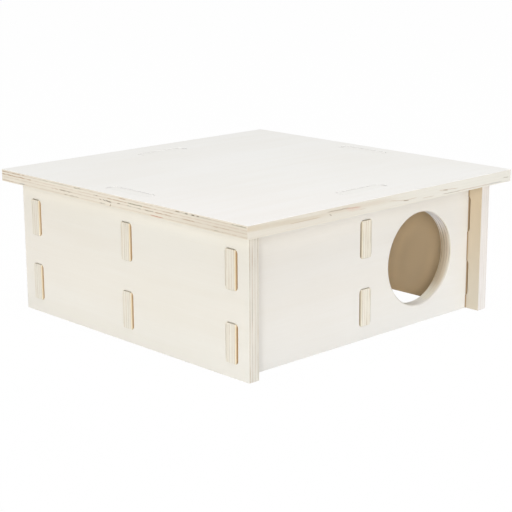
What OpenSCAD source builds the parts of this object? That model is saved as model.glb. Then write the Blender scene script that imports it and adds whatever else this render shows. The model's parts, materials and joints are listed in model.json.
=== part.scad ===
// Four-room hideout for a hamster: seven plywood boards that plug together, with a roof that lifts off.
// Millimetres, +Z up, front towards -Y. The origin is on the ground, at the middle of the house.

/* [House] */
// Width of the house, over the outer faces of the side walls
house_w = 250; // [220:1:320]
// Depth of the house, along the side walls
house_d = 250; // [230:1:320]
// Height of the walls
wall_h = 100; // [92:1:150]
// Thickness of the plywood
board = 9; // [6:0.5:12]
// How far the front and back walls stand back from the ends of the side walls
setback = 12; // [5:0.5:16]

/* [Doorways] */
// Diameter of every round doorway
door_d = 70; // [50:1:74]
// Wood left under a doorway
door_sill = 14; // [8:0.5:17]

/* [Roof] */
// How far the roof stands out past the side walls and their ends
overhang = 11; // [4:0.5:30]
// Width of the tenon that each outer wall carries for the roof
roof_tenon_w = 43; // [30:1:60]
// How far the roof tenons end below the upper face of the roof
roof_tenon_low = 0.2; // [0:0.1:1]
// Clearance on each side of a roof tenon in its slot
roof_clear = 0.6; // [0.3:0.1:1.5]

/* [Wall tenons] */
// Height of each wall tenon
tenon_h = 27; // [20:0.5:30]
// Wood between the ground and the lower tenons
tenon_foot = 10.5; // [8:0.5:14]
// Wood between the upper tenons and the top of the wall
tenon_head = 12.5; // [8:0.5:14]
// How far the wall tenons stand out of the wall that they pass through
tenon_proud = 1; // [0:0.1:3]
// Clearance on each side of a wall tenon in its slot
tenon_clear = 1.5; // [0.3:0.1:2]

/* [Fits] */
// Diameter of the router bit, which leaves round corners in the slots
bit_d = 6; // [3:0.5:6]
// Clearance at each end of a tenon, past the round corners of its slot
end_clear = 0.1; // [0.05:0.05:1]
// Clearance between the shoulders of a board and the wall that it meets
shoulder_clear = 0.8; // [0.1:0.05:0.9]
// Clearance on each side of a board where the two dividers cross
lap_clear = 0.3; // [0.1:0.05:0.9]

/* [Hidden] */

// Facets of a doorway, and of the round corners of a slot
door_facets = 96;
corner_facets = 24;

// Middle planes of the side walls, and of the front and back walls
side_x = (house_w - board) / 2;
front_y = (house_d - board) / 2 - setback;

// Clear width and depth inside the outer walls, and the boards that stand between them
inner_w = 2 * side_x - board;
inner_d = 2 * front_y - board;
cross_len = inner_w - 2 * shoulder_clear;
long_len = inner_d - 2 * shoulder_clear;

// Length of a wall tenon, from its shoulder to its end
tenon_reach = shoulder_clear + board + tenon_proud;
// Heights of the two rows of wall tenons, at their middles
tenon_rows = [tenon_foot + tenon_h / 2, wall_h - tenon_head - tenon_h / 2];

// Each doorway is in the middle of the stretch of wall that its room has
door_z = door_sill + door_d / 2;
room_x = (inner_w + board) / 4;
room_y = (inner_d + board) / 4;

// Length that a round corner takes from the end of a slot, beside a tenon with this side clearance
function corner_room(side_clear) =
    let (bit_r = bit_d / 2, from_arc = max(bit_r - side_clear, 0))
    bit_r - sqrt(bit_r * bit_r - from_arc * from_arc);

// Length of the slot for a tenon of this width
function slot_len(tenon_w, side_clear) = tenon_w + 2 * (corner_room(side_clear) + end_clear);

// Slot as a router cuts it, with round corners
module routed_slot(size_x, size_y) {
    square([size_x - bit_d, size_y], center = true);
    square([size_x, size_y - bit_d], center = true);
    for (right = [-1, 1], up = [-1, 1])
        translate([right * (size_x - bit_d) / 2, up * (size_y - bit_d) / 2])
            circle(d = bit_d, $fn = corner_facets);
}

// Blank for an upright board of this length, standing on the ground
module blank(board_len) {
    translate([-board_len / 2, 0]) square([board_len, wall_h]);
}

// Two tenons at each end of an upright board of this length
module wall_tenons(board_len) {
    for (row = tenon_rows)
        translate([0, row]) square([board_len + 2 * tenon_reach, tenon_h], center = true);
}

// Column of two slots for the tenons at one end of a board
module tenon_slots() {
    for (row = tenon_rows)
        translate([0, row]) routed_slot(board + 2 * tenon_clear, slot_len(tenon_h, tenon_clear));
}

// Tenon on the top edge of an outer wall, for the roof
module roof_tenon() {
    translate([-roof_tenon_w / 2, 0]) square([roof_tenon_w, wall_h + board - roof_tenon_low]);
}

// Round doorway at this distance from the middle of a board
module doorway(from_middle) {
    translate([from_middle, door_z]) circle(d = door_d, $fn = door_facets);
}

// Halving slot where the dividers cross, up from the bottom edge or down from the top edge
module halving_slot(opens_up) {
    slot_h = wall_h / 2 + corner_room(lap_clear) + end_clear;
    // The slot runs out past the edge of the board by the round of the bit
    middle = (slot_h - bit_d) / 2;
    translate([0, opens_up ? wall_h - middle : middle]) routed_slot(board + 2 * lap_clear, slot_h + bit_d);
}

// Stands a flat outline up as a board from left to right, with its middle plane at this depth
module stand_across(depth) {
    translate([0, depth + board / 2, 0]) rotate([90, 0, 0]) linear_extrude(height = board) children();
}

// Stands a flat outline up as a board from front to back, with its middle plane this far to the right
module stand_along(from_middle) {
    translate([from_middle - board / 2, 0, 0]) rotate([90, 0, 90]) linear_extrude(height = board) children();
}

// Side wall: three columns of slots take the front wall, the cross divider and the back wall
module side_outline() {
    difference() {
        union() {
            blank(house_d);
            roof_tenon();
        }
        for (column = [-front_y, 0, front_y]) translate([column, 0]) tenon_slots();
    }
}

// Front wall: its doorway is in the right-hand room, and a column of slots takes the long divider
module front_outline() {
    difference() {
        union() {
            blank(cross_len);
            wall_tenons(cross_len);
            roof_tenon();
        }
        tenon_slots();
        doorway(room_x);
    }
}

// Divider of this length, with a doorway on each side of its halving slot
module divider_outline(board_len, door_from_middle, opens_up) {
    difference() {
        union() {
            blank(board_len);
            wall_tenons(board_len);
        }
        for (side = [-1, 1]) doorway(side * door_from_middle);
        halving_slot(opens_up);
    }
}

module left_wall() {
    color("antiquewhite") stand_along(-side_x) side_outline();
}

module right_wall() {
    color("antiquewhite") stand_along(side_x) side_outline();
}

module front_wall() {
    color("linen") stand_across(-front_y) front_outline();
}

// The back wall is the front wall turned half round, so its doorway is in the back left room
module back_wall() {
    color("linen") rotate([0, 0, 180]) stand_across(-front_y) front_outline();
}

module cross_divider() {
    color("wheat") stand_across(0) divider_outline(cross_len, room_x, opens_up = false);
}

module long_divider() {
    color("wheat") stand_along(0) divider_outline(long_len, room_y, opens_up = true);
}

// The roof lies on the walls, and one slot over each outer wall takes its tenon
module roof() {
    slot_across = board + 2 * roof_clear;
    slot_along = slot_len(roof_tenon_w, roof_clear);
    color("floralwhite") translate([0, 0, wall_h]) linear_extrude(height = board) difference() {
        square([house_w + 2 * overhang, house_d + 2 * overhang], center = true);
        for (side = [-1, 1]) {
            translate([side * side_x, 0]) routed_slot(slot_across, slot_along);
            translate([0, side * front_y]) routed_slot(slot_along, slot_across);
        }
    }
}

left_wall();
right_wall();
front_wall();
back_wall();
cross_divider();
long_divider();
roof();
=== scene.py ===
"""Looks of a four-room plywood hideout for a hamster, on a pale studio floor.

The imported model's seven boards are the frame. Each one gets sanded edges, and plywood that runs through its
whole thickness, so every edge, doorway, slot and tenon shows its plies.
Sizes are in millimetres where a name ends in _mm, and in metres otherwise.
"""

import json
import math

import bpy
from mathutils import Matrix, Vector


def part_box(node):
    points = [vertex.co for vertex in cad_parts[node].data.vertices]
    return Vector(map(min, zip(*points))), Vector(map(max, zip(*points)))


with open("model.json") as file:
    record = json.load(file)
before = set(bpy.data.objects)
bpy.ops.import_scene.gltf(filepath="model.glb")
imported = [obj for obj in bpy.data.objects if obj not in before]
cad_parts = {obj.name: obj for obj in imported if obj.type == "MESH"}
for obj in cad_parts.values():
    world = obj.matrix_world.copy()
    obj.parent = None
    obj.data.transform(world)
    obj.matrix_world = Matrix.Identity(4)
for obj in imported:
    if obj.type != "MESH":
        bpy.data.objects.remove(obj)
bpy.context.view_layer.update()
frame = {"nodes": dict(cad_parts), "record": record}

MM = 0.001
X, Y, Z = 0, 1, 2

# ---------------------------------------------------------------------------------------------- colours


def paint(red, green, blue):
    """Colour socket value of a colour given as it looks on a screen, 0 to 255 each."""
    def linear(level):
        share = level / 255
        return share / 12.92 if share <= 0.04045 else ((share + 0.055) / 1.055) ** 2.4
    return (linear(red), linear(green), linear(blue), 1.0)


# ------------------------------------------------------------------------------------- material recipes


# Where the colour mixer has its share and its two colours among its inputs, and its result among its outputs
MIX_INPUTS = (0, 6, 7)
MIX_COLOUR = 2


class Recipe:
    """Node tree of a material or of the room, with short calls for the nodes that it is made of."""

    def __init__(self, tree):
        self.tree = tree
        self.tree.nodes.clear()

    def node(self, kind, *values, **settings):
        """New node with these settings, and these inputs in the order of its sockets. None skips one."""
        made = self.tree.nodes.new(kind)
        for name, value in settings.items():
            setattr(made, name, value)
        for socket, value in zip(made.inputs, values):
            self.feed(socket, value)
        return made

    def feed(self, socket, value):
        """Link or set a socket."""
        if isinstance(value, bpy.types.NodeSocket):
            self.tree.links.new(value, socket)
        elif value is not None:
            socket.default_value = value

    def math(self, operation, *values, clamp=False):
        return self.node("ShaderNodeMath", *values, operation=operation, use_clamp=clamp).outputs[0]

    def mix(self, *values, **settings):
        made = self.node("ShaderNodeMix", data_type="RGBA", **settings)
        for place, value in zip(MIX_INPUTS, values):
            self.feed(made.inputs[place], value)
        return made.outputs[MIX_COLOUR]

    def blend(self, share, low, high):
        """Colour that goes from low to high with share."""
        return self.mix(share, low, high, clamp_factor=True)

    def tint(self, colour, other):
        """One colour seen through the other."""
        return self.mix(1.0, colour, other, blend_type="MULTIPLY")

    def rescale(self, value, low, high, to_low=0.0, to_high=1.0):
        """Smooth step of value from low to high."""
        return self.node("ShaderNodeMapRange", value, low, high, to_low, to_high,
                         interpolation_type="SMOOTHSTEP").outputs[0]

    def noise(self, place, detail=2.0, roughness=0.5, distortion=0.0):
        """Noise from 0 to 1, with features of about one unit."""
        made = self.node("ShaderNodeTexNoise", noise_dimensions="3D")
        settings = {"Vector": place, "Scale": 1.0, "Detail": detail, "Roughness": roughness,
                    "Distortion": distortion}
        for name, value in settings.items():
            self.feed(made.inputs[name], value)
        return made.outputs["Fac"]

    def stretched(self, place, sizes, shift=(0, 0, 0)):
        """Place in units of sizes, so that a pattern of scale 1 has features of about these sizes."""
        made = self.node("ShaderNodeMapping", place, vector_type="TEXTURE")
        made.inputs["Location"].default_value = shift
        made.inputs["Scale"].default_value = sizes
        return made.outputs[0]

    def steps(self, value, stops, sharp):
        """Colour that jumps, or eases, from stop to stop (place, colour) over value."""
        return self.ramp(value, stops, "CONSTANT" if sharp else "EASE")[0]

    def ramp(self, value, stops, interpolation):
        """Colour and alpha of a ramp over value, through the stops (place, colour)."""
        made = self.node("ShaderNodeValToRGB", value)
        ramp = made.color_ramp
        ramp.interpolation = interpolation
        for stop, (place, colour) in enumerate(stops):
            element = ramp.elements[stop] if stop < len(ramp.elements) else ramp.elements.new(place)
            element.position = place
            element.color = colour
        return made.outputs[0], made.outputs[1]


def new_material(name):
    """Material without nodes yet, and its recipe."""
    material = bpy.data.materials.new(name)
    material.use_nodes = True
    return material, Recipe(material.node_tree)


# ---------------------------------------------------------------------------------------------- plywood

BOARD_MM = (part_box("roof")[1].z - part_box("roof")[0].z) / MM
FACE_VENEER_MM = 0.94
# Depths of the four glue lines, half their thickness, and how far they stray
GLUE_LINES_MM = (FACE_VENEER_MM, 3.24, 5.6, BOARD_MM - FACE_VENEER_MM)
GLUE_LINE_HALF_MM = 0.33
GLUE_WANDER_MM = 0.5
# Share of its strength that a glue line keeps where it is faintest
FAINTEST_LINE = 0.3
# How much of a face's figure is bands, fibres and slow tone, and the range of it that shows
BAND_SHARE, FIBRE_SHARE, TONE_SHARE = 0.45, 0.35, 0.4
FACE_FIGURE = (0.42, 0.78)
# The same for a cut edge, and the ranges of noise over which its glue lines come, go and change colour
EDGE_FIBRE_SHARE, EDGE_TONE_SHARE = 0.6, 0.5
EDGE_FIGURE = (0.38, 0.74)
LINE_COMES, GLUE_TURNS_GREY = (0.36, 0.68), (0.4, 0.6)
# Length, width and thickness of the fibres that a cut edge shows
FIBRE_MM = (18, 0.5, 0.32)

WHITE, BLACK = (1.0, 1.0, 1.0, 1.0), (0.0, 0.0, 0.0, 1.0)

# Face veneers: sanded pale outside, darker and warmer inside the rooms and on the side walls' ends, partly as
# painted shade
SIDE_VENEER = paint(236, 232, 222)
FRONT_VENEER = paint(233, 230, 224)
ROOF_VENEER = paint(242, 241, 238)
PALE_INSIDE_VENEER = paint(243, 235, 219)
# Inside the rooms, warmer than on the ends of the side walls: partly the wood's tone, partly painted shade and
# bounced light
ROOM_VENEER = paint(231, 207, 171)
# On the ends of the side walls past the end walls: partly the wood's tone, partly painted shade of the end walls
# and roof
END_VENEER = (paint(207, 197, 179), paint(209, 193, 167))
# Painted shade in the joints where the side walls meet the end walls
JOINT_PAINTED_SHADE = paint(186, 160, 128)
# Evens out the studio light that reaches a side wall through the doorways, and is no feature of the wood: a darker
# patch, where its middle is, half its size, and how it leans
LIT_TINT = (0.965, 0.952, 0.927, 1.0)
CORNER_TINT = (1.21, 1.2, 1.17, 1.0)
LIT_BESIDE_MM, LIT_UP_MM = 61, 31
LIT_HALF_WIDTH_MM, LIT_HALF_HEIGHT_MM = 18, 32
LIT_LEAN = 0.3

# Plies and the glue between them
WALL_PLIES = (paint(225, 220, 210), paint(215, 210, 199))
PALE_PLIES = (paint(237, 232, 227), paint(231, 225, 219))
TENON_PLIES = (paint(236, 231, 218), paint(228, 221, 206))
ROOF_PLIES = (paint(236, 228, 213), paint(230, 222, 206))
GLUE_BROWN = paint(176, 140, 104)
GLUE_GREY = paint(164, 152, 134)

# Painted shade on the sides of the tenons where they sit in their slots: cream at the end, and browner further in
TENON_TIP = paint(242, 228, 198)
TENON_SLOT_SHADE = paint(196, 150, 98)
DIVIDER_TENON_TIP = paint(238, 231, 212)
DIVIDER_TENON_SLOT_SHADE = paint(186, 168, 140)

# Slow changes of tone over whole faces, some of them painted light and shade, and the places in millimetres between
# which they happen
# Painted light from the white floor: paler and bluer low on the walls and dividers
LOW_PAINTED_LIGHT = (1.0, 1.014, 1.032, 1.0)
LOW_MM = (45, 0)
SIDE_TINTS = ((0.995, 0.995, 1.0, 1.0), (1.025, 1.02, 1.025, 1.0))
SIDE_TINTS_MM = (-80, 120)
# Painted light near the tops of the side walls, against the shade under the roof's overhang
SIDE_TOP_PAINTED_LIGHT = (1.02, 1.03, 1.035, 1.0)
SIDE_TOP_MM = (66, 92)
FRONT_TINTS = ((0.98, 0.98, 0.985, 1.0), (1.035, 1.04, 1.05, 1.0))
FRONT_TINTS_MM = (-60, 110)
# Painted shade of the roof's overhang above the front doorway
OVER_DOOR_SHADE = (0.97, 0.965, 0.955, 1.0)
OVER_DOOR_FROM_MM, OVER_DOOR_TO_MM, OVER_DOOR_UP_MM = (0, 50), (104, 84), (60, 88)
ROOF_CORNER_TINT = (1.016, 1.006, 1.009, 1.0)
ROOF_CORNER_MM = (-20, -240)

# An outer doorway's rim is pale outside, with painted shade further in towards the room, and painted light at its
# top and bottom
RIM_OUTER = (0.95, 0.93, 0.91, 1.0)
RIM_OUTER_SIDE = (0.82, 0.79, 0.72, 1.0)
RIM_GLUE = (0.72, 0.7, 0.68, 1.0)
RIM_OUTER_LINE = 0.7
RIM_PALE = (1.0, 0.94, 0.88, 1.0)
RIM_PAINTED_SHADE = (0.69, 0.60, 0.49, 1.0)
RIM_BOTTOM_LIGHT = (1.17, 1.18, 1.16, 1.0)
RIM_LOWEST_LIGHT = (1.18, 1.22, 1.34, 1.0)
RIM_TOP_LIGHT = (1.12, 1.14, 1.3, 1.0)


class Board:
    """One board of the house, how its sheet of plywood lies in it, and what it looks like."""

    def __init__(self, node, through, outer_side, along, outside, inside=ROOM_VENEER, plies=TENON_PLIES,
                 lines=0.7):
        self.node = node
        self.through = through
        self.outer_side = outer_side
        self.along = along
        self.across = 3 - through - along
        self.outside = outside
        self.inside = inside
        self.plies = plies
        self.lines = lines


BOARDS = [
    Board("left_wall", X, -1, Y, SIDE_VENEER, plies=WALL_PLIES, lines=1.0),
    Board("right_wall", X, 1, Y, SIDE_VENEER, plies=PALE_PLIES, lines=0.3),
    Board("front_wall", Y, -1, X, FRONT_VENEER, inside=PALE_INSIDE_VENEER),
    Board("back_wall", Y, 1, X, FRONT_VENEER, inside=PALE_INSIDE_VENEER),
    Board("cross_divider", Y, -1, X, ROOM_VENEER),
    Board("long_divider", X, -1, Y, ROOM_VENEER, lines=1.0),
    Board("roof", Z, 1, X, ROOF_VENEER, inside=PALE_INSIDE_VENEER, plies=ROOF_PLIES),
]
SIDE_WALLS = ("left_wall", "right_wall")
OUTER_DOORWAYS = {"front_wall": "entrance", "back_wall": "exit"}
MOUNTS = {mount["name"]: mount for mount in frame["record"]["mounts"]}
ROOF_EDGE_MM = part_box("roof")[1].x / MM
WALL_TOP_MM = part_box("roof")[0].z / MM
DOOR_MIDDLE_MM = MOUNTS["entrance"]["pos_m"][Z] / MM
SIDE_WALL_INNER_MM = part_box("right_wall")[0].x / MM
END_WALL_INNER_MM, END_WALL_OUTER_MM = (-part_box("front_wall")[end].y / MM for end in (1, 0))


class Sheet:
    """Where a point of a board is: along, across and depth in its sheet, and its place in the house."""

    def __init__(self, recipe, board, seed):
        place = recipe.node("ShaderNodeTexCoord").outputs["Object"]
        self.house = recipe.node("ShaderNodeSeparateXYZ", recipe.stretched(place, (MM, MM, MM))).outputs
        self.along = self.house[board.along]
        self.across = self.house[board.across]
        low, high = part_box(board.node)
        if board.outer_side < 0:
            self.depth = recipe.math("SUBTRACT", self.house[board.through], low[board.through] / MM)
        else:
            self.depth = recipe.math("SUBTRACT", high[board.through] / MM, self.house[board.through])
        self.place = recipe.node("ShaderNodeCombineXYZ", self.along, self.across, self.depth).outputs[0]
        self.recipe = recipe
        self.shift = (seed * 137.0, seed * 71.0, seed * 29.0)

    def noise(self, along, across, depth, **kind):
        """Noise with features of about these sizes in millimetres."""
        place = self.recipe.stretched(self.place, (along, across, depth), self.shift)
        return self.recipe.noise(place, **kind)


def shaded(colour, *shares):
    """Colour with each channel at its share."""
    return tuple(level * share for level, share in zip(colour, shares)) + (1.0,)


def face_figure(recipe, sheet):
    """Soft bands, fine fibres and a slow change of tone over a face veneer, from 0 to 1."""
    bands = sheet.noise(along=150, across=11, depth=3, detail=2.0, distortion=0.8)
    fibres = sheet.noise(along=34, across=0.7, depth=0.7, detail=3.0, roughness=0.6)
    tone = sheet.noise(along=90, across=70, depth=40, detail=1.0)
    figure = recipe.math("MULTIPLY_ADD", bands, BAND_SHARE, recipe.math("MULTIPLY", fibres, FIBRE_SHARE))
    return recipe.rescale(recipe.math("MULTIPLY_ADD", tone, TONE_SHARE, figure), *FACE_FIGURE)


def glue_line(recipe, depth, line_mm, half_mm):
    """1 in the middle of a glue line, and 0 beside it."""
    off = recipe.math("ABSOLUTE", recipe.math("SUBTRACT", depth, line_mm))
    return recipe.rescale(off, half_mm, 0.0)


def ply_edge(recipe, board, sheet):
    """Colour and relief of the cut plies: fibres that turn with each ply, and glue lines that come and go."""
    wander = recipe.math("SUBTRACT", sheet.noise(along=40, across=40, depth=2.3, detail=2.0), 0.5)
    depth = recipe.math("MULTIPLY_ADD", wander, GLUE_WANDER_MM, sheet.depth)
    share = recipe.math("DIVIDE", depth, BOARD_MM, clamp=True)
    edges = [line / BOARD_MM for line in GLUE_LINES_MM]
    crossband = recipe.steps(share, [(0, BLACK), (edges[0], WHITE), (edges[1], BLACK), (edges[2], WHITE),
                                     (edges[3], BLACK)], sharp=True)
    fibre_long, fibre_wide, fibre_thick = FIBRE_MM
    along_fibres = sheet.noise(fibre_long, fibre_wide, fibre_thick, detail=3.0, roughness=0.65)
    across_fibres = sheet.noise(fibre_wide, fibre_long, fibre_thick, detail=3.0, roughness=0.65)
    fibres = recipe.blend(crossband, along_fibres, across_fibres)
    tone = sheet.noise(along=40, across=40, depth=1.9, detail=1.0)
    toned = recipe.math("MULTIPLY", tone, EDGE_TONE_SHARE)
    figure = recipe.math("MULTIPLY_ADD", fibres, EDGE_FIBRE_SHARE, toned)
    colour = recipe.blend(recipe.rescale(figure, *EDGE_FIGURE), *board.plies)

    half = GLUE_LINE_HALF_MM / BOARD_MM
    stops = [(0, BLACK)]
    for edge in edges:
        stops += [(edge - half, BLACK), (edge, WHITE), (edge + half, BLACK)]
    lines = recipe.steps(share, stops, sharp=False)
    coming = sheet.noise(along=14, across=14, depth=1.7, detail=3.0)
    strength = recipe.rescale(coming, *LINE_COMES, FAINTEST_LINE * board.lines, board.lines)
    hue = sheet.noise(along=30, across=30, depth=2.1, detail=1.0)
    glue = recipe.blend(recipe.rescale(hue, *GLUE_TURNS_GREY), GLUE_BROWN, GLUE_GREY)
    return colour, fibres, lines, strength, glue


# Tenons in the roof's slots: sanded flush on top, and painted light on their sides against the shade of the gaps
TENON_SANDED_AND_LIT = shaded(ROOF_VENEER, 0.985, 0.98, 0.97)
SANDED_FROM_MM, SANDED_TO_MM = 3, 6
SANDED_LINE_LOSS = 0.8
# A doorway's rim lies well within the ends of its wall, and well below its top: where it fades, from and to
RIM_WITHIN_MM = (104, 100)
RIM_BELOW_TOP_MM = (2, 6)


def on_tenon_top(recipe, sheet):
    """1 on the upper half of the tenons that fill the roof's slots, and 0 below."""
    return recipe.rescale(sheet.house[Z], WALL_TOP_MM + SANDED_FROM_MM, WALL_TOP_MM + SANDED_TO_MM)


def upright_edge(recipe, board, sheet):
    """Cut plies of a wall or a divider, paler on the tenons that fill the roof's slots: sanded on top, painted
    light in the gaps.
    """
    colour, fibres, lines, strength, glue = ply_edge(recipe, board, sheet)
    on_top = on_tenon_top(recipe, sheet)
    colour = recipe.blend(on_top, colour, TENON_SANDED_AND_LIT)
    strength = recipe.math("MULTIPLY", strength, recipe.math("MULTIPLY_ADD", on_top, -SANDED_LINE_LOSS, 1.0))
    shown = recipe.math("MULTIPLY", lines, strength)
    edge = recipe.blend(shown, colour, glue)
    if board.node in OUTER_DOORWAYS:
        rim = doorway_rim(recipe, board, sheet, colour, shown, glue)
        between_ends = recipe.rescale(recipe.math("ABSOLUTE", sheet.along), *RIM_WITHIN_MM)
        below_top = recipe.rescale(recipe.math("SUBTRACT", WALL_TOP_MM, sheet.house[Z]), *RIM_BELOW_TOP_MM)
        edge = recipe.blend(recipe.math("MULTIPLY", between_ends, below_top), edge, rim)
    return edge, fibres, lines


# Heights over the middle of a doorway between which its rim changes, and depths for the last two
LINES_APPEAR_MM, LINES_VANISH_MM = (-22, 2), (25, 33)
FAINT_LINES, STRONG_LINES = 0.2, 2.0
# Painted shade in the rim: its height over the doorway's middle, and how far it reaches up and down
RIM_SHADE_UP_MM = -7
RIM_SHADE_OFF_MM = (31, 12)
BOTTOM_RIM_MM, LOWEST_RIM_MM, TOP_RIM_MM = (-22, -35), (-32.5, -35), (10, 28)
BESIDE_RIM_MM = (32, 16)
RIM_SHADE_DEPTH_MM, OUTER_RIM_DEPTH_MM = (0.0, 7.5), (2.0, 0.6)


def doorway_rim(recipe, board, sheet, plies, lines, glue):
    """Plies round an outer doorway, with painted shade at its sides towards the room, and painted light at top and
    bottom.
    """
    up = recipe.math("SUBTRACT", sheet.house[Z], DOOR_MIDDLE_MM)
    shown = recipe.math("MULTIPLY", recipe.rescale(up, *LINES_APPEAR_MM, FAINT_LINES, STRONG_LINES),
                        recipe.rescale(up, *LINES_VANISH_MM, 1.0, FAINT_LINES))
    shown_lines = recipe.math("MULTIPLY", lines, shown, clamp=True)
    dark_glue = recipe.tint(glue, RIM_GLUE)
    colour = recipe.blend(shown_lines, plies, dark_glue)
    off_shade = recipe.math("ABSOLUTE", recipe.math("SUBTRACT", up, RIM_SHADE_UP_MM))
    rim_shade = recipe.math("MULTIPLY", recipe.rescale(sheet.depth, *RIM_SHADE_DEPTH_MM),
                           recipe.rescale(off_shade, *RIM_SHADE_OFF_MM))
    tint = recipe.blend(rim_shade, RIM_PALE, RIM_PAINTED_SHADE)
    for heights, other in ((BOTTOM_RIM_MM, RIM_BOTTOM_LIGHT), (LOWEST_RIM_MM, RIM_LOWEST_LIGHT), (TOP_RIM_MM, RIM_TOP_LIGHT)):
        tint = recipe.blend(recipe.rescale(up, *heights), tint, other)
    beside = recipe.rescale(recipe.math("ABSOLUTE", up), *BESIDE_RIM_MM)
    outer = recipe.tint(board.outside, recipe.blend(beside, RIM_OUTER, RIM_OUTER_SIDE))
    outer = recipe.blend(recipe.math("MULTIPLY", shown_lines, RIM_OUTER_LINE), outer, dark_glue)
    return recipe.blend(recipe.rescale(sheet.depth, *OUTER_RIM_DEPTH_MM), recipe.tint(colour, tint), outer)


DARK_BROWN = paint(126, 98, 62)
BROWN = paint(170, 130, 92)
OLIVE = paint(124, 116, 84)
GREY = paint(164, 155, 138)
VOID = paint(82, 62, 34)
ROSE = paint(186, 124, 98)
SLATE = paint(140, 140, 142)

# Glue lines on the left edge of the roof: depth, then the runs that show, from the front backwards.
# A run is from, to, colour and strength. Between its runs a line is faint.
LEFT_EDGE_LINES = (
    (1.4, ((-134, -122, OLIVE, 0.7), (-101, -67, GREY, 0.6), (-13, -8, BROWN, 0.9), (37, 44, OLIVE, 0.7),
           (52, 86, OLIVE, 0.45), (107, 134, BROWN, 0.8))),
    (3.4, ((-63, -46, BROWN, 0.7), (-45, -34, BROWN, 1.0), (-32, -17, OLIVE, 0.9), (-15, 5, BROWN, 0.7),
           (18, 21, DARK_BROWN, 0.8), (99, 134, BROWN, 1.0))),
    (5.4, ((-118, -105, BROWN, 0.5), (-85, -75, BROWN, 0.7), (-62, -46, BROWN, 0.8),
           (-44, -36, DARK_BROWN, 0.9), (-30, -17, OLIVE, 0.6), (48, 62, DARK_BROWN, 0.8),
           (64, 71, BROWN, 0.6))),
    (7.9, ((-125, -113, BROWN, 0.5), (-112, -106, OLIVE, 0.8), (-53, -42, ROSE, 0.9), (9, 14, VOID, 0.6),
           (40, 56, DARK_BROWN, 0.6), (107, 112, SLATE, 0.9), (121, 134, BROWN, 0.6))),
)
FAINT_RUN = (*GLUE_BROWN[:3], 0.3)
RUN_FADE_MM = 1.5
RUN_HALF_MM = 0.6
# How grain breaks up a run: the range of noise, and the strengths that it gives
RUN_GRAIN = (0.3, 0.6, 0.35, 1.0)

# Streaks of darker wood and open glue: from, to, depth at each end, half thickness, colour and strength
LEFT_EDGE_STREAKS = (
    (-90.0, -88.0, 1.3, 1.3, 0.5, VOID, 0.6),
    (-85.5, -83.0, 1.3, 1.3, 0.5, VOID, 0.8),
    (-79.0, -76.5, 1.3, 1.3, 0.5, VOID, 0.6),
    (-71.0, -67.0, 1.2, 1.2, 0.4, DARK_BROWN, 0.7),
    (-8.0, -5.0, 5.2, 5.4, 0.4, DARK_BROWN, 0.6),
    (2.0, 7.5, 5.8, 5.2, 0.5, VOID, 0.7),
    (2.2, 3.4, 7.2, 8.8, 0.6, DARK_BROWN, 0.8),
    (8.2, 11.0, 5.6, 5.0, 0.4, VOID, 0.6),
    (13.0, 15.0, 5.4, 5.2, 0.4, DARK_BROWN, 0.6),
)
FRONT_EDGE_STREAKS = (
    (-139, -125, 2.3, 2.6, 1.7, paint(214, 192, 158), 0.6),
    (-137, -92, 2.5, 3.1, 2.0, paint(212, 202, 184), 0.85),
    (-108, -68, 3.2, 4.0, 1.5, paint(212, 202, 184), 0.85),
    (-98, -72, 4.6, 4.6, 0.3, BROWN, 0.35),
    (-68, -2, 2.6, 3.2, 2.0, paint(212, 200, 182), 0.5),
    (-63, -45, 2.4, 2.5, 0.4, DARK_BROWN, 0.45),
    (-62, -60, 4.2, 5.0, 0.4, DARK_BROWN, 0.5),
    (-45, -33, 2.8, 3.4, 0.4, ROSE, 0.5),
    (-44, -32, 4.0, 4.4, 1.3, paint(218, 198, 184), 0.5),
    (-32, -27, 5.4, 5.4, 0.3, BROWN, 0.3),
    (-1, 14, 4.1, 5.8, 0.4, BROWN, 0.3),
    (13, 18, 5.9, 6.3, 0.4, DARK_BROWN, 0.7),
    (18, 26, 5.9, 5.7, 0.3, BROWN, 0.35),
    (34, 45, 7.2, 7.2, 0.3, BROWN, 0.35),
    (52, 72, 4.3, 5.4, 0.3, BROWN, 0.4),
    (56, 61, 4.8, 5.2, 0.4, DARK_BROWN, 0.5),
    (56, 75, 7.4, 7.8, 0.3, DARK_BROWN, 0.5),
    (74, 110, 7.6, 7.7, 0.4, BROWN, 0.35),
    (109, 124, 7.8, 7.8, 0.5, SLATE, 0.35),
    (127, 133, 5.2, 5.4, 0.4, OLIVE, 0.4),
)
# Even plies of the front edge, from the left end to the right end
FRONT_EDGE_PLIES = (paint(223, 217, 205), paint(230, 227, 218))
FRONT_EDGE_PLIES_MM = (-100, 100)
FRONT_FIBRE_TINT = (0.97, 0.96, 0.94, 1.0)
FRONT_LINE_SHARE = 0.12
# The front of the left edge is darker, apart from its uppermost ply
DARKER_TINT = (0.91, 0.9, 0.89, 1.0)
DARKER_MM, DARKER_DEPTH_MM = (-30, -110), (1.0, 1.6)
# A streak's core, rim and taper in units of its half thickness, and how far glue lines are ragged
STREAK_CORE, STREAK_RIM, STREAK_TAPER = 0.3, 1.3, 7
RAGGED_MM = 0.7
# The roof's slots begin this far from its edges, and their walls are painted light above this depth, against the
# gaps' shade
SLOT_FROM_EDGE_MM, SLOT_TOP_DEPTH_MM = (2, 4), (6, 4)
AT_EDGE_MM = (0.4, 0.2)


def shown_runs(recipe, run_place, runs):
    """Colour of a glue line, and its strength, along the roof's edge."""
    stops = [(0, FAINT_RUN)]
    for start, end, colour, strength in runs:
        shown = (*colour[:3], strength)
        faded = ((start - RUN_FADE_MM, FAINT_RUN), (start, shown), (end, shown),
                 (end + RUN_FADE_MM, FAINT_RUN))
        for place, stop in faded:
            stops.append((0.5 + 0.5 * place / ROOF_EDGE_MM, stop))
    return recipe.ramp(run_place, stops, "LINEAR")


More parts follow.
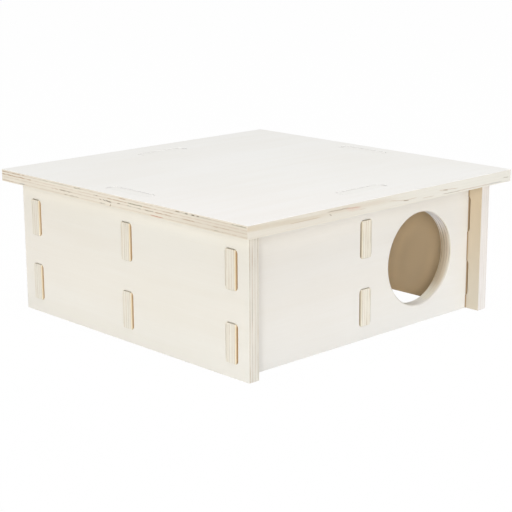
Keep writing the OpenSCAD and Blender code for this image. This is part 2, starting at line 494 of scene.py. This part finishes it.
def streak_share(recipe, place, depth, start, end, start_depth, end_depth, half):
    """1 in the middle of a streak along the roof's edge, and 0 outside it."""
    middle = recipe.node("ShaderNodeMapRange", place, start, end, start_depth, end_depth).outputs[0]
    off = recipe.math("ABSOLUTE", recipe.math("SUBTRACT", depth, middle))
    beyond = recipe.math("ABSOLUTE", recipe.math("SUBTRACT", place, (start + end) / 2))
    fade = min(STREAK_TAPER * half, (end - start) / 4)
    length = recipe.rescale(beyond, (end - start) / 2 + fade, (end - start) / 2 - fade)
    return recipe.math("MULTIPLY", recipe.rescale(off, STREAK_RIM * half, STREAK_CORE * half), length)


def add_streaks(recipe, colour, place, depth, streaks):
    """Colour of the plies with these streaks over them."""
    for *where, streak_colour, strength in streaks:
        share = streak_share(recipe, place, depth, *where)
        colour = recipe.blend(recipe.math("MULTIPLY", share, strength), colour, streak_colour)
    return colour


def roof_left_edge(recipe, sheet, plies, ragged):
    """Plies of the roof's left edge, darker in front, with the runs of its glue lines and its open spots."""
    darker = recipe.math("MULTIPLY", recipe.rescale(sheet.house[Y], *DARKER_MM),
                         recipe.rescale(sheet.depth, *DARKER_DEPTH_MM))
    left = recipe.tint(plies, recipe.blend(darker, WHITE, DARKER_TINT))
    run_place = recipe.math("MULTIPLY_ADD", sheet.house[Y], 0.5 / ROOF_EDGE_MM, 0.5)
    grain = recipe.rescale(sheet.noise(along=5, across=5, depth=1.2, detail=3.0), *RUN_GRAIN)
    for line_mm, runs in LEFT_EDGE_LINES:
        run_colour, run_strength = shown_runs(recipe, run_place, runs)
        share = recipe.math("MULTIPLY", glue_line(recipe, ragged, line_mm, RUN_HALF_MM), run_strength)
        left = recipe.blend(recipe.math("MULTIPLY", share, grain), left, run_colour)
    return add_streaks(recipe, left, sheet.house[Y], sheet.depth, LEFT_EDGE_STREAKS)


def roof_front_edge(recipe, sheet, fibres, lines, glue, ragged):
    """Plies of the roof's front edge, even and pale, with faint glue lines and long streaks."""
    front = recipe.blend(recipe.rescale(sheet.house[X], *FRONT_EDGE_PLIES_MM), *FRONT_EDGE_PLIES)
    fibrous = recipe.rescale(fibres, *EDGE_FIGURE)
    front = recipe.tint(front, recipe.blend(fibrous, WHITE, FRONT_FIBRE_TINT))
    front = recipe.blend(recipe.math("MULTIPLY", lines, FRONT_LINE_SHARE), front, glue)
    return add_streaks(recipe, front, sheet.house[X], ragged, FRONT_EDGE_STREAKS)


def roof_edge(recipe, board, sheet):
    """Cut plies of the roof, with their own left and front edges, and slots whose walls are painted light near the
    top.
    """
    plies, fibres, lines, strength, glue = ply_edge(recipe, board, sheet)
    shown = recipe.math("MULTIPLY", lines, strength)
    colour = recipe.blend(shown, plies, glue)

    across, backwards = sheet.house[X], sheet.house[Y]
    out = recipe.math("MAXIMUM", recipe.math("ABSOLUTE", across), recipe.math("ABSOLUTE", backwards))
    in_slot = recipe.rescale(recipe.math("SUBTRACT", ROOF_EDGE_MM, out), *SLOT_FROM_EDGE_MM)
    slot_top = recipe.math("MULTIPLY", in_slot, recipe.rescale(sheet.depth, *SLOT_TOP_DEPTH_MM))
    colour = recipe.blend(slot_top, colour, ROOF_VENEER)
    stray = recipe.math("SUBTRACT", sheet.noise(along=4, across=4, depth=2, detail=3.0), 0.5)
    ragged = recipe.math("MULTIPLY_ADD", stray, RAGGED_MM, sheet.depth)
    left = roof_left_edge(recipe, sheet, plies, ragged)
    front = roof_front_edge(recipe, sheet, fibres, shown, glue, ragged)
    for place, edge in ((across, left), (backwards, front)):
        at_edge = recipe.rescale(recipe.math("ADD", place, ROOF_EDGE_MM), *AT_EDGE_MM)
        colour = recipe.blend(at_edge, colour, edge)
    return colour, fibres, lines


FIGURE_SHARES = (0.982, 0.974, 0.96)
# Distances between which a face changes, from the end of a tenon, a joint or its own surface
TENON_TIP_MM, TENON_COLOUR_MM = (2.2, 0.3), (4.5, 3.0)
JOINT_MM, END_JOINT_MM = (0.8, 0.3), (0.9, 0.3)
VENEER_TURN_MM = (-0.2, 0.2)
VENEER_DEPTH_MM = (0.05, 0.25)
# Heights between which the veneer on the ends of the side walls changes
END_VENEER_MM = (10, 90)
# Where the lit patch of a side wall fades, in squares of its half size
LIT_FADE = (0.23, 1.09)


def veneer(recipe, figure, shade):
    """Face veneer, a little darker and warmer where its figure is strong."""
    return recipe.blend(figure, shade, shaded(shade, *FIGURE_SHARES))


def tenon_sides(recipe, board, sheet, colour):
    """Face veneer of a board whose ends pass through a wall, with painted shade on its tenons' sides in the slots.
    """
    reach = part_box(board.node)[1][board.along] / MM
    from_tip = recipe.math("SUBTRACT", reach, recipe.math("ABSOLUTE", sheet.along))
    colours = (TENON_SLOT_SHADE, TENON_TIP)
    if board.node == "long_divider":
        colours = (DIVIDER_TENON_SLOT_SHADE, DIVIDER_TENON_TIP)
    slot_shade = recipe.blend(recipe.rescale(from_tip, *TENON_TIP_MM), *colours)
    return recipe.blend(recipe.rescale(from_tip, *TENON_COLOUR_MM), colour, slot_shade)


def side_wall_inside(recipe, sheet, inside):
    """Inner veneer of a side wall, evened out by painted light and shade, and a darker one, partly painted shade,
    past the end walls.
    """
    from_middle = recipe.math("ABSOLUTE", sheet.along)
    up = recipe.math("SUBTRACT", sheet.house[Z], LIT_UP_MM)
    leaning = recipe.math("MULTIPLY_ADD", up, -LIT_LEAN, recipe.math("SUBTRACT", from_middle, LIT_BESIDE_MM))
    beside = recipe.math("DIVIDE", leaning, LIT_HALF_WIDTH_MM)
    above = recipe.math("DIVIDE", up, LIT_HALF_HEIGHT_MM)
    off_light = recipe.math("MULTIPLY_ADD", beside, beside, recipe.math("MULTIPLY", above, above))
    inside = recipe.tint(inside, recipe.blend(recipe.rescale(off_light, *LIT_FADE), LIT_TINT, CORNER_TINT))
    end_veneer = recipe.blend(recipe.rescale(sheet.across, *END_VENEER_MM), *END_VENEER)
    joint = recipe.rescale(recipe.math("SUBTRACT", from_middle, END_WALL_OUTER_MM), *END_JOINT_MM)
    end_veneer = recipe.blend(joint, end_veneer, JOINT_PAINTED_SHADE)
    past_wall = recipe.rescale(recipe.math("SUBTRACT", from_middle, END_WALL_INNER_MM), *VENEER_TURN_MM)
    return recipe.blend(past_wall, inside, end_veneer)


def side_wall_outside(recipe, sheet, outside):
    """Outer veneer of a side wall: a little paler towards the back, and painted light at the top."""
    backwards = recipe.rescale(sheet.along, *SIDE_TINTS_MM)
    outside = recipe.tint(outside, recipe.blend(backwards, *SIDE_TINTS))
    near_top = recipe.rescale(sheet.across, *SIDE_TOP_MM)
    return recipe.tint(outside, recipe.blend(near_top, WHITE, SIDE_TOP_PAINTED_LIGHT))


def end_wall_outside(recipe, board, sheet, outside):
    """Outer veneer of the front or back wall, with painted shade where it meets the side walls and, on the front
    wall, over its doorway.
    """
    if board.node == "front_wall":
        to_right = recipe.rescale(sheet.along, *FRONT_TINTS_MM)
        outside = recipe.tint(outside, recipe.blend(to_right, *FRONT_TINTS))
        # Painted shade of the roof's overhang over the doorway
        over_door = recipe.math("MULTIPLY", recipe.rescale(sheet.along, *OVER_DOOR_FROM_MM),
                                recipe.rescale(sheet.along, *OVER_DOOR_TO_MM))
        over_door = recipe.math("MULTIPLY", recipe.rescale(sheet.house[Z], *OVER_DOOR_UP_MM), over_door)
        outside = recipe.tint(outside, recipe.blend(over_door, WHITE, OVER_DOOR_SHADE))
    from_side = recipe.math("SUBTRACT", SIDE_WALL_INNER_MM, recipe.math("ABSOLUTE", sheet.along))
    return recipe.blend(recipe.rescale(from_side, *JOINT_MM), outside, JOINT_PAINTED_SHADE)


def roof_outside(recipe, sheet, outside):
    """Upper veneer of the roof, a little paler towards the front left corner."""
    to_corner = recipe.rescale(recipe.math("ADD", sheet.house[X], sheet.house[Y]), *ROOF_CORNER_MM)
    return recipe.tint(outside, recipe.blend(to_corner, WHITE, ROOF_CORNER_TINT))


def board_colour(recipe, board, sheet, figure, edge_colour):
    """Colour of a board anywhere in it: its veneers on both faces, and its cut plies between them."""
    outside = veneer(recipe, figure, board.outside)
    inside = veneer(recipe, figure, board.inside)
    if board.node == "roof":
        outside = roof_outside(recipe, sheet, outside)
    elif board.node in SIDE_WALLS:
        outside = side_wall_outside(recipe, sheet, outside)
        inside = side_wall_inside(recipe, sheet, inside)
    else:
        if board.node in OUTER_DOORWAYS:
            outside = end_wall_outside(recipe, board, sheet, outside)
        outside = tenon_sides(recipe, board, sheet, outside)
        inside = tenon_sides(recipe, board, sheet, inside)
    # Painted light on the faces of the tenons in the roof's slots, against the shade of the gaps round them
    if board.node != "roof":
        on_top = on_tenon_top(recipe, sheet)
        outside = recipe.blend(on_top, outside, TENON_SANDED_AND_LIT)
        inside = recipe.blend(on_top, inside, TENON_SANDED_AND_LIT)
    from_inside = recipe.math("SUBTRACT", BOARD_MM, sheet.depth)
    colour = recipe.blend(recipe.rescale(sheet.depth, *VENEER_DEPTH_MM), outside, edge_colour)
    colour = recipe.blend(recipe.rescale(from_inside, *VENEER_DEPTH_MM), inside, colour)
    # Painted light from the floor, low on every board but the roof
    if board.node != "roof":
        colour = recipe.tint(colour, recipe.blend(recipe.rescale(sheet.house[Z], *LOW_MM), WHITE, LOW_PAINTED_LIGHT))
    return colour


GRAIN_BUMP, GRAIN_BUMP_MM = 0.25, 0.1
GLUE_LINE_SINK = 0.5
SANDED_ROUGHNESS = (0.84, 0.93)
RAW_WOOD_GLOSS = 0.03


def plywood(board, seed):
    """Pale five-ply plywood: two sanded face veneers, three thicker plies between them, and glue lines."""
    material, recipe = new_material(board.node + "_plywood")
    sheet = Sheet(recipe, board, seed)
    figure = face_figure(recipe, sheet)
    edge = roof_edge if board.node == "roof" else upright_edge
    edge_colour, fibres, lines = edge(recipe, board, sheet)

    bump = recipe.node("ShaderNodeBump")
    bump.inputs["Strength"].default_value = GRAIN_BUMP
    bump.inputs["Distance"].default_value = GRAIN_BUMP_MM * MM
    recipe.feed(bump.inputs["Height"], recipe.math("MULTIPLY_ADD", lines, -GLUE_LINE_SINK, fibres))

    shader = recipe.node("ShaderNodeBsdfPrincipled")
    recipe.feed(shader.inputs["Base Color"], board_colour(recipe, board, sheet, figure, edge_colour))
    recipe.feed(shader.inputs["Roughness"], recipe.rescale(figure, 0.0, 1.0, *SANDED_ROUGHNESS))
    recipe.feed(shader.inputs["Normal"], bump.outputs[0])
    shader.inputs["Specular IOR Level"].default_value = RAW_WOOD_GLOSS
    recipe.node("ShaderNodeOutputMaterial", shader.outputs[0])
    return material


# ----------------------------------------------------------------------------------------------- boards

SANDED_EDGE_MM, SANDED_EDGE_STEPS = 0.12, 2
ROUNDED_RIM_MM, ROUNDED_RIM_STEPS = 1.6, 5
SHARP_TURN = math.radians(40)
FLAT_TURN = math.radians(0.5)
SAME_POINT = 1e-6
ON_RIM = 1e-5
RIM_GROUP = "doorway_rim"
HALF_WEIGHT = 0.5


def rounded_edges(solid, name, width_mm, segments):
    """Bevel with round edges of this width."""
    bevel = solid.modifiers.new(name, "BEVEL")
    bevel.width = width_mm * MM
    bevel.segments = segments
    # Slid corners would stand out of the board by a few hundredths of a millimetre
    bevel.loop_slide = False
    return bevel


def round_doorway(solid, mount):
    """Well rounded outer rim on a doorway, where the animal brushes past."""
    outer = Vector(mount["pos_m"]) + Vector(mount["axis"]) * mount["dims"]["length_mm"] / 2 * MM
    radius = mount["dims"]["r_mm"] * MM
    on_rim = [point.index for point in solid.data.vertices
              if abs((point.co - outer).length - radius) < ON_RIM]
    rim = solid.vertex_groups.new(name=RIM_GROUP)
    rim.add(on_rim, 1.0, "REPLACE")
    rounded = rounded_edges(solid, "rounded_doorway", ROUNDED_RIM_MM, ROUNDED_RIM_STEPS)
    rounded.limit_method = "VGROUP"
    rounded.vertex_group = rim.name
    rounded.use_clamp_overlap = False


def sand_edges(solid, mount):
    """Merged faces and small round edges on a board, which leave the solid's own mesh as it is."""
    merged = solid.modifiers.new("merged_points", "WELD")
    merged.merge_threshold = SAME_POINT
    joined = solid.modifiers.new("joined_faces", "DECIMATE")
    joined.decimate_type = "DISSOLVE"
    joined.angle_limit = FLAT_TURN
    if mount:
        round_doorway(solid, mount)
    sanded = rounded_edges(solid, "sanded_edges", SANDED_EDGE_MM, SANDED_EDGE_STEPS)
    sanded.limit_method = "ANGLE"
    sanded.angle_limit = SHARP_TURN
    if mount:
        # The bevels leave weights a little below 0 near the rim, which make a mesh invalid
        spent = solid.modifiers.new("spent_weights", "VERTEX_WEIGHT_EDIT")
        spent.vertex_group = RIM_GROUP
        spent.use_remove = True
        spent.remove_threshold = HALF_WEIGHT
    # The wide faces keep their own normals, so that only the sanded edges shade as round
    flat = solid.modifiers.new("flat_faces", "WEIGHTED_NORMAL")
    flat.keep_sharp = True


for seed, board in enumerate(BOARDS, start=1):
    solid = frame["nodes"][board.node]
    sand_edges(solid, MOUNTS.get(OUTER_DOORWAYS.get(board.node)))
    solid.material_slots[0].material = plywood(board, seed)

# ------------------------------------------------------------------------------------- floor and light

FLOOR_SIZE = 24.0
FLOOR_WHITE = paint(250, 250, 250)
SEEN_WHITE = 0.985


def seen_directly(recipe):
    """1 for rays that the camera, a gloss or a glass sends out, and 0 for the rays that light the object."""
    path = recipe.node("ShaderNodeLightPath").outputs
    seen = recipe.math("MAXIMUM", path["Is Camera Ray"], path["Is Glossy Ray"])
    return recipe.math("MAXIMUM", seen, path["Is Transmission Ray"])


def studio_floor():
    """Pale floor that looks white, and still takes the object's shadow."""
    bpy.ops.object.select_all(action="DESELECT")
    bpy.ops.mesh.primitive_plane_add(size=FLOOR_SIZE)
    floor = bpy.context.object
    floor.name = "studio_floor"
    floor_paint, recipe = new_material("studio_floor_paint")
    matt = recipe.node("ShaderNodeBsdfDiffuse", FLOOR_WHITE)
    glow = recipe.node("ShaderNodeEmission", WHITE, 1.0)
    share = recipe.math("MULTIPLY", seen_directly(recipe), SEEN_WHITE)
    mixed = recipe.node("ShaderNodeMixShader", share, matt.outputs[0], glow.outputs[0])
    recipe.node("ShaderNodeOutputMaterial", mixed.outputs[0])
    floor.data.materials.append(floor_paint)


studio_floor()

ROOM_LIGHT = 0.295


def studio_world():
    """Soft light from all round, and white where the camera looks past the floor."""
    world = bpy.data.worlds.new("studio_room")
    bpy.context.scene.world = world
    world.use_nodes = True
    recipe = Recipe(world.node_tree)
    room = recipe.node("ShaderNodeBackground", WHITE, ROOM_LIGHT)
    white = recipe.node("ShaderNodeBackground", WHITE, 1.0)
    mixed = recipe.node("ShaderNodeMixShader", seen_directly(recipe), room.outputs[0], white.outputs[0])
    recipe.node("ShaderNodeOutputWorld", mixed.outputs[0])


studio_world()

HOUSE_MIDDLE = Vector((0, 0, 0.05))


def softbox(name, place, size, watts):
    """Square soft light that faces the middle of the house."""
    lamp = bpy.data.lights.new(name, "AREA")
    lamp.shape = "SQUARE"
    lamp.size = size
    lamp.energy = watts
    holder = bpy.data.objects.new(name, lamp)
    bpy.context.scene.collection.objects.link(holder)
    holder.location = place
    holder.rotation_euler = (HOUSE_MIDDLE - holder.location).to_track_quat("-Z", "Y").to_euler()


softbox("overhead_softbox", place=(-0.2, -0.42, 1.97), size=2.0, watts=29.6)
softbox("key_softbox", place=(-4.8, -5.0, 1.7), size=2.8, watts=256.0)

# ----------------------------------------------------------------------------------------------- camera

CAMERA_PLACE = Vector((-0.716231, -0.753135, 0.303480))
CAMERA_HEADING = math.radians(43.5808)
CAMERA_TILT_DOWN = math.radians(14.1584)
CAMERA_ROLL = math.radians(-0.236)
CAMERA_LENS = 98.27
CAMERA_SENSOR = 36.0
CAMERA_NEAR = 0.01


def studio_camera():
    """Camera before the house's left front corner, a little above the roof."""
    lens = bpy.data.cameras.new("studio_camera")
    lens.lens = CAMERA_LENS
    lens.sensor_width = CAMERA_SENSOR
    lens.clip_start = CAMERA_NEAR
    camera = bpy.data.objects.new("studio_camera", lens)
    bpy.context.scene.collection.objects.link(camera)
    turn = Matrix.Rotation(-CAMERA_HEADING, 4, "Z")
    tilt = Matrix.Rotation(math.pi / 2 - CAMERA_TILT_DOWN, 4, "X")
    roll = Matrix.Rotation(CAMERA_ROLL, 4, "Z")
    camera.matrix_world = Matrix.Translation(CAMERA_PLACE) @ turn @ tilt @ roll
    bpy.context.scene.camera = camera


studio_camera()
bpy.context.scene.view_settings.view_transform = "Standard"
